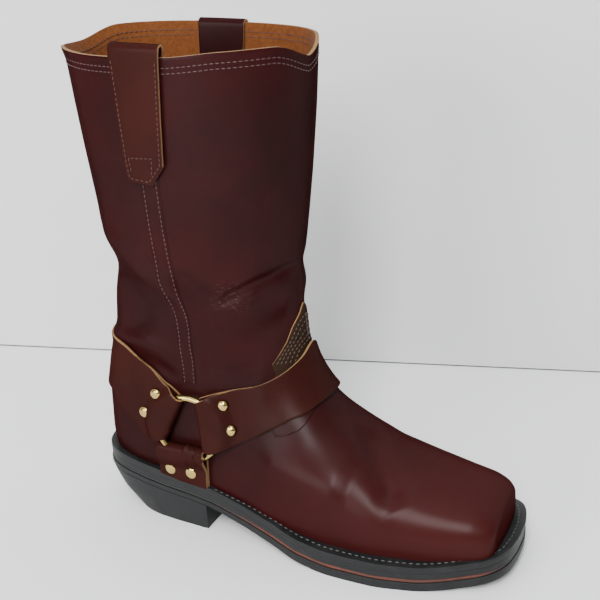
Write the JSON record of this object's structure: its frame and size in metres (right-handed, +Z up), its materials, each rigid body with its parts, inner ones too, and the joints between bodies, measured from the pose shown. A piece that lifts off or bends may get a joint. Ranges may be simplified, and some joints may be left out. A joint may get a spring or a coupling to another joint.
{
  "type": "harness boot",
  "caption": "Right pull-on leather boot with a square toe, raked heel, tall open shaft, and harness straps joined by a ring on each side.",
  "frame": {"origin": "on the floor, at the middle of the heel's flat underside", "axes": "+X runs forward to the toe, +Y to the medial (inner) side, +Z up the shaft"},
  "size_m": [0.3177, 0.1276, 0.3465],
  "materials": {
    "upper_leather": "glossy oiled, dark oxblood",
    "harness_leather": "smooth satin, red-brown with raw tan edges",
    "sole_rubber": "matt black",
    "sole_line": "matt brick red",
    "insole_leather": "plain vegetable tanned",
    "brass": "polished"
  },
  "bodies": {
    "root": {"outsole": "sole_rubber", "sole_line": "sole_line", "midsole": "sole_rubber", "welt": "sole_rubber", "heel": "sole_rubber", "insole": "insole_leather", "upper": "upper_leather", "instep_patch": "upper_leather", "side_seam_lateral": "upper_leather", "side_seam_medial": "upper_leather", "ring_lateral": "brass", "ring_medial": "brass", "front_strap": "harness_leather", "back_strap": "harness_leather", "ring_tab_lateral": "harness_leather", "ring_tab_medial": "harness_leather", "rivet_front_upper_lateral": "brass", "rivet_front_lower_lateral": "brass", "rivet_back_upper_lateral": "brass", "rivet_back_lower_lateral": "brass", "rivet_tab_rear_lateral": "brass", "rivet_tab_fore_lateral": "brass", "rivet_front_upper_medial": "brass", "rivet_front_lower_medial": "brass", "rivet_back_upper_medial": "brass", "rivet_back_lower_medial": "brass", "rivet_tab_rear_medial": "brass", "rivet_tab_fore_medial": "brass", "pull_strap_lateral": "harness_leather", "pull_strap_medial": "harness_leather"}
  },
  "joints": []
}
